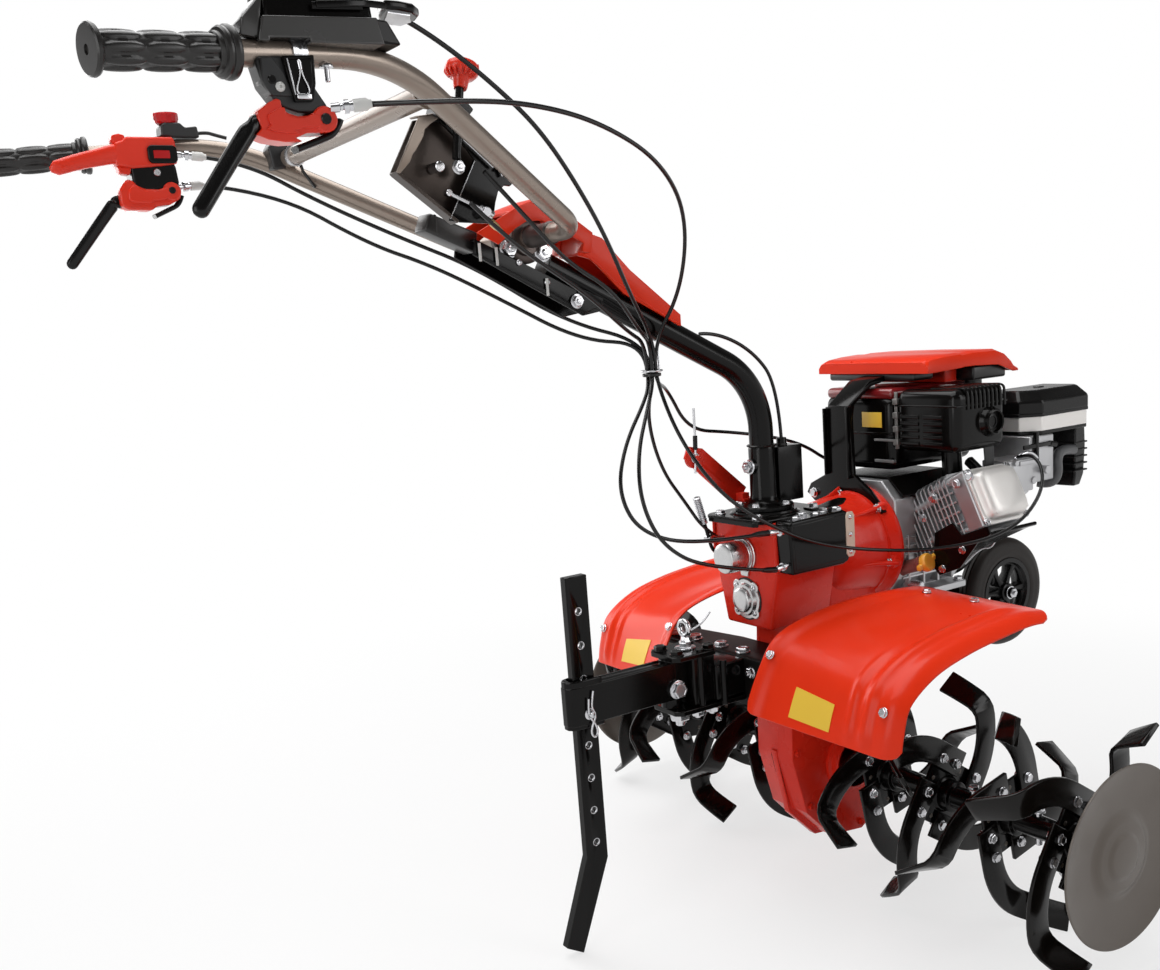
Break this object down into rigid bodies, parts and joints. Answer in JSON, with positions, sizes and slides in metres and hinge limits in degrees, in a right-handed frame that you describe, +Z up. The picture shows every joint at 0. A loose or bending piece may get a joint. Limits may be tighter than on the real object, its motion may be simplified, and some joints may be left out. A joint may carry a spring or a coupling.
{
  "type": "garden tiller",
  "caption": "Petrol walk-behind garden tiller with tine rotor, end discs, fenders, depth stake, front transport wheel, swivelling column and tilting handlebar.",
  "frame": {"origin": "on the ground, under the middle of the outer box", "axes": "+X forward, the way the tiller travels, +Y to its left, +Z up"},
  "size_m": [1.6516, 1.104, 1.252],
  "materials": {
    "red_paint": "gloss",
    "red_plastic": "gloss",
    "bronze_paint": "satin metallic",
    "disc_paint": "satin",
    "bright_steel": "bright zinc",
    "aluminium": "cast",
    "rubber": "matte",
    "tyre": "matte",
    "black_plastic": "satin",
    "cable_black": "satin",
    "black_paint": "gloss"
  },
  "bodies": {
    "chassis": {"air_filter": "black_plastic", "barrel_shroud": "black_paint", "bell_housing": "red_paint", "carburettor": "aluminium", "engine_barrel": "aluminium", "engine_block": "aluminium", "engine_guard": "red_plastic", "fender_bar": "black_paint", "fenders": "red_plastic", "front_bracket": "black_paint", "fuel_tank": "black_plastic", "gearbox_housing": "red_paint", "guard_post": "black_paint", "hitch_block": "black_paint", "holder_pin": "bright_steel", "linkage_box": "black_plastic", "lower_case": "red_paint", "muffler": "black_paint", "oil_cap": "black_plastic", "rear_covers": "bright_steel", "recoil_housing": "black_plastic", "stake_holder": "black_paint", "top_plate": "black_paint", "valve_cover": "aluminium"},
    "tine_rotor": {"drive_shaft": "black_paint", "end_discs": "disc_paint", "tine_blades_1": "black_paint", "tine_blades_2": "black_paint", "tine_blades_3": "black_paint", "tine_blades_4": "black_paint", "tine_tubes": "black_paint"},
    "wheel_arm": {"wheel_arm": "black_paint"},
    "front_wheel": {"wheel_rim": "black_plastic", "wheel_tyre": "tyre"},
    "column": {"box_cable": "cable_black", "cable_ring": "bright_steel", "clamp_discs": "bronze_paint", "clamp_lever": "red_plastic", "column_box": "black_paint", "column_channel": "black_paint", "column_post": "black_paint", "column_sleeve": "rubber", "column_tube": "black_paint", "lock_arm": "red_paint", "lower_cables": "cable_black"},
    "handlebar": {"cross_tube": "bronze_paint", "grips": "rubber", "handle_tubes": "bronze_paint", "kill_switch": "red_plastic", "left_levers": "black_plastic", "right_lever": "black_plastic", "selector_plate": "bronze_paint", "selector_rod": "black_plastic", "throttle_box": "black_plastic", "tilt_shaft": "bronze_paint", "upper_cables": "cable_black"},
    "stake": {"depth_stake": "black_paint"}
  },
  "joints": [
    {"name": "tine_spin", "type": "hinge", "parent": "chassis", "child": "tine_rotor", "pos_m": [0.28677, 0, 0.176], "axis": [0, 1, 0], "continuous": true},
    {"name": "wheel_arm_swing", "type": "hinge", "parent": "chassis", "child": "wheel_arm", "pos_m": [0.43677, 0, 0.39], "axis": [0, 1, 0], "range_deg": [0, 60]},
    {"name": "front_wheel_spin", "type": "hinge", "parent": "wheel_arm", "child": "front_wheel", "pos_m": [0.72577, 0, 0.375], "axis": [0, 1, 0], "continuous": true},
    {"name": "column_swivel", "type": "hinge", "parent": "chassis", "child": "column", "pos_m": [0.16777, 0, 0.611], "axis": [0, 0, 1], "range_deg": [-25, 25], "deforming": ["lower_cables"]},
    {"name": "handlebar_tilt", "type": "hinge", "parent": "column", "child": "handlebar", "pos_m": [-0.23523, 0, 1.032], "axis": [0, 1, 0], "range_deg": [-15, 15], "deforming": ["upper_cables"]},
    {"name": "stake_slide", "type": "slide", "parent": "chassis", "child": "stake", "axis": [0, 0, 1], "range_m": [0, 0.15]}
  ]
}
